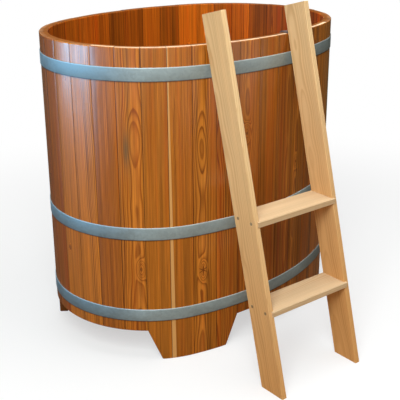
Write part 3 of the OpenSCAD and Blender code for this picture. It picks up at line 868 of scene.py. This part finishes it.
def stave_figure(number):
    """The chosen or drawn figure of one stave.

    Its tone and red are the cast of its colour. The pith's place across and depth, the start along
    the tree and the lean, which way up it grew, place it in the tree. It ends below the rim by the
    drop's share of the play.
    """
    draw = np.random.default_rng(FIGURE_SEED + number)
    if draw.uniform() < 0.3:
        pith = (draw.uniform(-0.02, 0.02), draw.uniform(0.020, 0.035))
    else:
        pith = (draw.choice([-1, 1]) * draw.uniform(0.04, 0.12), draw.uniform(0.03, 0.12))
    nowhere = (NOWHERE, NOWHERE, SMALL_KNOT)
    # The staves at the front and the left get a painted highlight across their end grain
    on_front = number <= SIDE_STAVES or number > STAVE_COUNT - PALE_LEFT_STAVES
    figure = {
        "tone": draw.uniform(-1, 1), "red": draw.uniform(0, 1), "pith": pith,
        "start": draw.uniform(0, 40), "sapwood": 0.0, "drop": draw.uniform(0, 1),
        "lean": draw.choice([-1, 1]), "pale_end": 1.0 if on_front else draw.uniform(0.0, 0.15),
        "island": (pith[0], draw.uniform(0.2, 0.9), draw.uniform(0.003, 0.011)),
        "knot": nowhere, "star": nowhere, "smoke": (NOWHERE, NOWHERE, 0.0)}
    if draw.uniform() < 0.3:
        kind = draw.choice(["knot", "star"])
        figure[kind] = (draw.uniform(-0.025, 0.025), draw.uniform(0.2, 0.95), SMALL_KNOT)
    figure.update(STAVE_FIGURES.get(f"stave_{number:02d}", {}))
    return figure


def oval_path(first, last, step):
    """Points and outward normals along the oval at even lengths, anticlockwise from its back middle.

    Each length is looked up in the running total of the arcs' lengths, and the rest of it over the
    arc's radius is the angle about that arc's centre.
    """
    order = ((BACK_ARC, 0.5, 1.0), (LEFT_ARC, 0.0, 1.0), (FRONT_ARC, 0.0, 1.0), (RIGHT_ARC, 0.0, 1.0),
             (BACK_ARC, 0.0, 0.5))
    spans = [(*ARCS[arc][:4], low, high) for arc, low, high in order]
    centres, radii, starts, sweeps, lows, highs = (np.array(column) for column in zip(*spans))
    lengths = radii * sweeps * (highs - lows)
    ends = np.cumsum(lengths)
    total = ends[-1]
    s = np.linspace(first, total + last, int((total + last - first) / step) + 1)
    part = np.clip(np.searchsorted(ends, s, side="right"), 0, len(order) - 1)
    angle = (starts + lows * sweeps)[part] + (s - ends[part] + lengths[part]) / radii[part]
    normal = np.stack([np.cos(angle), np.sin(angle)], -1)
    points = centres[part] + normal * radii[part][:, None]
    points[:, 1] += MIDDLE_Y
    return s, total, points, normal


def hoop_surface(low, edge):
    """A rounded strip section carried round the oval, its ends lapping at the back.

    The section is a rectangle whose corners are quarter circles. The outer end steps out by the
    strip's thickness, along a smooth cubic of the length, before the lap starts.
    """
    s, total, points, normal = oval_path(-HOOP_LAP / 2, HOOP_LAP / 2, HOOP_STEP)
    corners = [
        (HOOP_THICKNESS - edge, HOOP_WIDTH - edge, 0.0), (edge, HOOP_WIDTH - edge, math.pi / 2),
        (edge, edge, math.pi), (HOOP_THICKNESS - edge, edge, 1.5 * math.pi)]
    out = np.concatenate([x + edge * np.cos(ROUNDING + base) for x, _, base in corners])
    up = np.concatenate([z + edge * np.sin(ROUNDING + base) for _, z, base in corners])
    way = np.clip((s - (total - HOOP_LAP / 2 - LAP_RISE)) / LAP_RISE, 0, 1)
    step_out = HOOP_THICKNESS * way * way * (3 - 2 * way)
    reach = out[None, :] + step_out[:, None]
    plan = points[:, None, :] + normal[:, None, :] * reach[..., None]
    height = np.broadcast_to(low + up[None, :], reach.shape)
    surface = np.concatenate([plan, height[..., None]], -1)
    strip = np.stack(np.broadcast_arrays(s[:, None], up[None, :], 0.0), -1)
    return surface, strip


def lathe(profile, steps):
    """A profile's points turned about Z: the radius times cosine and sine of each step, and the height."""
    radius, height = np.array(profile, dtype=float).T
    turn = np.linspace(0, 2 * math.pi, steps, endpoint=False)
    return np.stack(np.broadcast_arrays(
        radius[:, None] * np.cos(turn), radius[:, None] * np.sin(turn), height[:, None]), -1)


def set_down(grid, matrix):
    """The grid's points, turned and moved by a 4 by 4 matrix."""
    rows = np.array(matrix)
    return grid @ rows[:3, :3].T + rows[:3, 3]


def joined(parts):
    """Points and faces of several (grid, faces) parts in one mesh."""
    points, faces, first = [], [], 0
    for grid, part_faces in parts:
        flat = np.asarray(grid).reshape(-1, 3)
        points.append(flat)
        faces += [[first + corner for corner in face] for face in part_faces]
        first += len(flat)
    return np.concatenate(points), faces


def turned_part(profile, steps, matrix, ring=False):
    """A lathe grid. A ring's profile closes on itself, and another's two ends get one face each."""
    rows = len(profile)
    if ring:
        faces = [[corner % (rows * steps) for corner in face] for face in tube_faces(rows + 1, steps)]
    else:
        faces = capped_faces(rows, steps)
    return set_down(lathe(profile, steps), matrix), faces


def screw_part(size, matrix):
    """A countersunk screw with a crossed recess in its flat head, its point along minus Z.

    Over the head the recess is as deep as the larger of two crossed tapering slots: each is 1 near
    its own axis and falls to 0 at its half width, times a fall from the middle to its end.
    """
    shank, length = size
    head = 2 * shank
    grid = lathe([(head * share * 0.94, 0.0) for share in np.linspace(0.02, 1.0, 13)], SCREW_STEPS)
    x, y = np.abs(grid[..., 0]), np.abs(grid[..., 1])
    slot, reach = 0.13 * head, 0.58 * head
    one = np.clip((slot - y) / (0.4 * slot), 0, 1) * np.clip((reach - x) / (0.35 * reach), 0, 1)
    two = np.clip((slot - x) / (0.4 * slot), 0, 1) * np.clip((reach - y) / (0.35 * reach), 0, 1)
    grid[..., 2] -= 0.32 * head * np.maximum(one, two)
    body = lathe([
        (head, -0.05 * head), (shank, -head * 0.9), (shank, -length + 3 * shank),
        (0.02 * shank, -length)], SCREW_STEPS)
    whole = np.concatenate([grid, body])
    return set_down(whole[::-1], matrix), capped_faces(len(whole), SCREW_STEPS)


def facing(location, direction):
    """A matrix that carries +Z onto a direction and the origin onto a place."""
    turn = Vector(direction).to_track_quat("Z", "Y").to_matrix().to_4x4()
    return Matrix.Translation(location) @ turn


def stile_rear_y(z):
    """Where the stiles' rear faces are at a height, in the ladder's axes."""
    resting = -math.sqrt(SIDE_RADIUS**2 - STILE_INNER_X**2) - SLIP_GAP
    return resting - (RIM - END_BEVEL - z) * math.tan(LADDER_LEAN)


def ladder_matrix():
    """Carries the ladder's own axes into the tub's. Their origin is the centre of the front side's arc."""
    return Matrix.Translation((0.0, MIDDLE_Y + SIDE_CENTRE, 0.0)) @ Matrix.Rotation(LADDER_TURN, 4, "Z")


def add_screws(name, screws, body):
    """All screws of one node as one piece. A screw is its place, its head's direction and its size."""
    plate = made("screw_plate", steel_finish, SCREW_PLATE, 0.5, metallic=0.5)
    parts = [screw_part(size, facing(place, outward)) for place, outward, size in screws]
    add_piece(name, parts, plate, body, sharp=30.0)


class TUB_OT_staves(bpy.types.Operator):
    """Puts a dressed stave in the place of each packed one"""

    bl_idname = "tub.staves"
    bl_label = "Staves"

    def execute(self, context):
        scene = context.scene
        shape = scene.tub_shape
        material = made("oiled_larch", larch_finish, scene.tub_colours, shape.ring_spacing)
        for number, place in enumerate(stave_places(), 1):
            name = f"stave_{number:02d}"
            figure = stave_figure(number)
            points, u, depth, height, from_low, from_high = stave_surface(
                place, shape.arris, RIM - figure["drop"] * shape.rim_play)
            rows, loop = points.shape[:2]
            pith_across, pith_depth = figure["pith"]
            lean = figure["lean"]
            board = np.stack([u - pith_across, pith_depth - depth, lean * height + figure["start"]], -1)
            # The sapwood lies along the near seam and widens downwards
            width = SAPWOOD_AT_GROUND + (SAPWOOD_AT_RIM - SAPWOOD_AT_GROUND) * height
            pale = figure["sapwood"] * (width - from_low)
            attributes = {
                "board": board,
                "place": np.stack([np.minimum(from_low, from_high), pale, depth / STAVE_THICKNESS], -1),
                "cast": np.broadcast_to([figure["tone"], figure["red"], figure["pale_end"]], board.shape),
            }
            for key in ("knot", "star", "island", "smoke"):
                mark_u, mark_z, size = figure[key]
                attributes[key] = np.broadcast_to(
                    [mark_u - pith_across, lean * mark_z + figure["start"], size], board.shape)
            parts = [(points, ladder_faces(rows, loop))]
            add_piece(name, parts, material, "tub", attributes, sharp=28.0)
        return {"FINISHED"}


class TUB_OT_hoops(bpy.types.Operator):
    """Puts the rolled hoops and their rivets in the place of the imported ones"""

    bl_idname = "tub.hoops"
    bl_label = "Hoops and rivets"

    def execute(self, context):
        scene = context.scene
        material = made("galvanised_zinc", zinc_finish, scene.tub_colours.zinc)
        for name, low in HOOP_HEIGHTS.items():
            surface, strip = hoop_surface(low, scene.tub_shape.hoop_edge)
            parts = [(surface, capped_faces(*surface.shape[:2]))]
            add_piece(name, parts, material, "tub", {"strip": strip}, sharp=40.0)
        head, high = RIVET_HEAD_RADIUS, RIVET_HEAD_HEIGHT
        angles = np.linspace(0, math.pi / 2, RIVET_DOME_ROWS)
        dome = [(head * math.cos(angle) + DOME_RING, high * math.sin(angle)) for angle in angles]
        shank, end = RIVET_SHANK_RADIUS, -2 * HOOP_THICKNESS
        profile = [(END_RING, end), (shank, end), (shank, 0.0)] + dome
        parts = []
        for low in HOOP_HEIGHTS.values():
            centre = Vector((0.0, MIDDLE_Y - SIDE_CENTRE, low + HOOP_WIDTH / 2))
            for side in (-1, 1):
                angle = math.pi / 2 + side * RIVET_SPACING / 2 / SIDE_RADIUS
                out = Vector((math.cos(angle), math.sin(angle), 0.0))
                place = facing(centre + out * (SIDE_RADIUS + 2 * HOOP_THICKNESS), out)
                parts.append(turned_part(profile, RIVET_STEPS, place))
        add_piece("hoop_rivets", parts, material, "tub")
        return {"FINISHED"}


class TUB_OT_floor(bpy.types.Operator):
    """Gives the floor boards and battens their wood and puts in the floor's screws"""

    bl_idname = "tub.floor"
    bl_label = "Floor"

    def execute(self, context):
        boards = made(
            "larch_floor_boards", plank_finish, floor_axes, FLOOR_RING, *FLOOR_WOOD, 0.7, 0.55,
            seams=floor_seams)
        dress([f"floor_board_{number}" for number in range(1, FLOOR_BOARDS + 1)], boards)
        battens = made("larch_battens", plank_finish, batten_axes, FLOOR_RING, *BATTEN_WOOD, 0.7, 0.6)
        dress(["floor_battens"], battens)
        low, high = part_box("floor_battens")
        reach = (high[1] - low[1]) / 2 - BATTEN_END_GAP
        across = [
            (board - (FLOOR_BOARDS - 1) / 2) * BOARD_PITCH + edge * FLOOR_SCREW_SPREAD
            for board in range(FLOOR_BOARDS) for edge in (-1, 1)]
        screws = [
            ((side * BATTEN_X, MIDDLE_Y + y, BATTEN_LOW), (0, 0, -1), FLOOR_SCREW)
            for side in (-1, 1) for y in across if abs(y) < reach]
        add_screws("floor_screws", screws, "tub")
        return {"FINISHED"}


class TUB_OT_drain(bpy.types.Operator):
    """Turns the drain's fitting, gaskets and plug"""

    bl_idname = "tub.drain"
    bl_label = "Drain"

    def execute(self, context):
        colours = context.scene.tub_colours
        steel = made("drain_steel", steel_finish, colours.steel, 0.24)
        rubber = made("moulded_rubber", rubber_finish, colours.rubber)
        stand = Matrix.Translation((DRAIN_X, MIDDLE_Y, 0.0))
        body = turned_part(DRAIN_BODY, DRAIN_STEPS, stand, ring=True)
        gaskets = [
            turned_part([(radius, low + up) for radius, up in GASKET], DRAIN_STEPS, stand, ring=True)
            for low in GASKET_UNDERSIDES]
        plug = turned_part(DRAIN_PLUG, DRAIN_STEPS, stand)
        add_piece("drain_body", [body], steel, "tub")
        add_piece("drain_gaskets", gaskets, rubber, "tub")
        add_piece("drain_plug", [plug], rubber, "plug")
        dress(["drain_nut"], steel)
        return {"FINISHED"}


class TUB_OT_ladder(bpy.types.Operator):
    """Gives the ladder its pine and its hook dark iron, and puts in the screws"""

    bl_idname = "tub.ladder"
    bl_label = "Ladder"

    def execute(self, context):
        colours = context.scene.tub_colours
        stiles = made(
            "pine_stiles", plank_finish, stile_axes, PINE_RING, colours.pine_early, colours.pine_late,
            0.55, 0.5, tint=stile_painted_shade)
        dress(["stile_left", "stile_right"], stiles)
        steps = made("pine_steps", plank_finish, step_axes, PINE_RING, *STEP_WOOD, 0.6, 0.5)
        dress(["step_lower", "step_upper"], steps)
        dress(["rim_hook"], made("hook_iron", steel_finish, HOOK_IRON, 0.6, metallic=0.2))
        ladder = ladder_matrix()
        screws = []
        for side in (-1, 1):
            outward = ladder.to_3x3() @ Vector((side, 0, 0))
            for number in (1, 2):
                z = number * STEP_RISE - STEP_THICKNESS / 2
                middle = stile_rear_y(z) - STILE_WIDTH / math.cos(LADDER_LEAN) / 2
                for edge in (-1, 1):
                    y = middle + edge * STEP_SCREW_SPACING / 2
                    place = ladder @ Vector((side * LADDER_WIDTH / 2, y, z))
                    screws.append((place, outward, STEP_SCREW))
        flange = stile_rear_y(TONGUE_Z - HOOK_FLANGE_HEIGHT) - HOOK_FLANGE_MARGIN
        for edge in (-1, 1):
            y = flange - HOOK_FLANGE_LENGTH / 2 + edge * HOOK_SCREW_SPACING / 2
            z = TONGUE_Z - HOOK_FLANGE_HEIGHT / 2
            place = ladder @ Vector((LADDER_WIDTH / 2 + HOOK_THICKNESS, y, z))
            screws.append((place, outward, HOOK_SCREW))
        add_screws("ladder_screws", screws, "ladder")
        return {"FINISHED"}


class TUB_OT_stage(bpy.types.Operator):
    """Lays the pale floor and sets the lamps, the sky and the camera"""

    bl_idname = "tub.stage"
    bl_label = "Studio"

    def execute(self, context):
        scene = context.scene
        light = scene.tub_light
        ground = flat_corners(GROUND_HALF, GROUND_HALF, 0.0)
        add_sheet("studio_floor", ground, made("studio_floor", floor_paint))
        hang_lamp("key_lamp", light.key_power, (-2.6, -1.9, 3.2), (-0.2, 0.0, 0.6), 2.0, (0.94, 1.0, 0.99))
        blue = hang_lamp(
            "sky_lamp", light.blue_power, (-2.8, 1.5, 1.5), (-0.4, 0.1, 0.7), 2.7, (0.21, 0.60, 1.0))
        blue.visible_diffuse = False
        hang_lamp("top_lamp", light.top_power, (0.2, -0.3, 3.4), (0.0, 0.0, 0.6), 2.4, WHITE)
        for name, corners, colour in CARDS:
            card = add_sheet(name, corners, made(name, card_paint, colour))
            card.visible_camera = card.visible_diffuse = card.visible_shadow = False
        paint_sky(scene, light.sky)
        place_camera(scene)
        scene.view_settings.view_transform = "Standard"
        return {"FINISHED"}


def flat_corners(half_x, half_y, z):
    return [(-half_x, -half_y, z), (half_x, -half_y, z), (half_x, half_y, z), (-half_x, half_y, z)]


def upright_corners(start, end):
    return [(*start, 0), (*end, 0), (*end, CARD_HEIGHT), (*start, CARD_HEIGHT)]


# Dark cards that darken reflections and nothing else
CARDS = (
    ("right_card", upright_corners((1.7, -2.0), (2.4, 1.8)), (0.055, 0.065, 0.035)),
    ("back_card", upright_corners((-1.8, 2.7), (2.4, 2.7)), (0.10, 0.08, 0.05)),
    ("low_card", flat_corners(3.2, 3.0, 0.002), (0.09, 0.065, 0.045)),
)


def add_sheet(name, corners, material):
    """One face with four corners, which belongs to the stage."""
    mesh = bpy.data.meshes.new(name)
    mesh.from_pydata(corners, [], [(0, 1, 2, 3)])
    mesh.materials.append(material)
    sheet = placed(name, mesh)
    return sheet


def floor_paint(finish):
    """A pale plain floor that the camera and reflections see as nearly white, more so further off."""
    seen = finish.seen()
    paper = finish.mix(seen, GROUND_BOUNCE, GROUND_SHOWN)
    matt = finish.node("ShaderNodeBsdfDiffuse", sockets={"Color": paper})
    white = finish.node("ShaderNodeEmission", sockets={"Color": (*WHITE, 1.0)})
    x, y, _ = finish.xyz()
    far = ((x * x + y * y) ** 0.5).step(0.9, 2.4)
    share = seen * (far * 0.42 + 0.58)
    finish.end(finish.node("ShaderNodeMixShader", sockets={0: share, 1: matt, 2: white}))


def card_paint(finish, colour):
    finish.end(finish.node("ShaderNodeEmission", sockets={"Color": (*colour, 1.0)}))


def hang_lamp(name, power, place, target, size, colour):
    """A square area lamp that looks from its place at a target."""
    lamp = bpy.data.lights.new(name, "AREA")
    lamp.size, lamp.energy, lamp.color = size, power, colour
    hung = placed(name, lamp)
    hung.location = place
    hung.rotation_euler = (Vector(target) - Vector(place)).to_track_quat("-Z", "Y").to_euler()
    return hung


def paint_sky(scene, strength):
    """An even sky that camera, glossy and transmission rays see as white."""
    scene.world = bpy.data.worlds.new("studio_sky")
    sky = Finish(scene.world, "ShaderNodeOutputWorld")
    sky.end(sky.node("ShaderNodeBackground", sockets={
        "Color": (*WHITE, 1.0), "Strength": sky.seen() * (1.0 - strength) + strength}))


def place_camera(scene):
    """The camera at the picture's angle. It looks ahead, turned by its yaw, pitch and roll."""
    data = bpy.data.cameras.new("studio_camera")
    data.sensor_width, data.lens = 36.0, CAMERA_LENS
    data.shift_x, data.shift_y = CAMERA_SHIFT
    data.clip_end = 100.0
    data.dof.use_dof = False
    camera = placed("studio_camera", data)
    place = Vector((
        CAMERA_DISTANCE * math.sin(CAMERA_AZIMUTH),
        MIDDLE_Y - CAMERA_DISTANCE * math.cos(CAMERA_AZIMUTH), CAMERA_HEIGHT))
    heading = Matrix.Rotation(CAMERA_AZIMUTH + CAMERA_YAW, 4, "Z")
    level = Matrix.Rotation(math.pi / 2 - CAMERA_PITCH, 4, "X")
    roll = Matrix.Rotation(CAMERA_ROLL, 4, "Z")
    camera.matrix_world = Matrix.Translation(place) @ heading @ level @ roll
    scene.camera = camera


class TUB_PT_sidebar(bpy.types.Panel):
    """Lists the steps that dress the tub"""

    bl_idname = "TUB_PT_sidebar"
    bl_label = "Stave Tub"
    bl_space_type = "VIEW_3D"
    bl_region_type = "UI"
    bl_category = "Stave Tub"

    def draw(self, context):
        column = self.layout.column()
        for group in (context.scene.tub_shape, context.scene.tub_colours, context.scene.tub_light):
            for name in group.__annotations__:
                column.prop(group, name)
        for operator in STEPS:
            column.operator(operator.bl_idname)


STEPS = (TUB_OT_staves, TUB_OT_hoops, TUB_OT_floor, TUB_OT_drain, TUB_OT_ladder, TUB_OT_stage)
CLASSES = (TubShape, TubColours, StudioLight, *STEPS, TUB_PT_sidebar)


def register():
    for cls in CLASSES:
        bpy.utils.register_class(cls)
    bpy.types.Scene.tub_shape = bpy.props.PointerProperty(type=TubShape)
    bpy.types.Scene.tub_colours = bpy.props.PointerProperty(type=TubColours)
    bpy.types.Scene.tub_light = bpy.props.PointerProperty(type=StudioLight)


def unregister():
    for name in ("tub_shape", "tub_colours", "tub_light"):
        delattr(bpy.types.Scene, name)
    for cls in reversed(CLASSES):
        bpy.utils.unregister_class(cls)


def main():
    register()
    for operator in STEPS:
        group, step = operator.bl_idname.split(".")
        getattr(getattr(bpy.ops, group), step)()


if __name__ == "__main__":
    main()
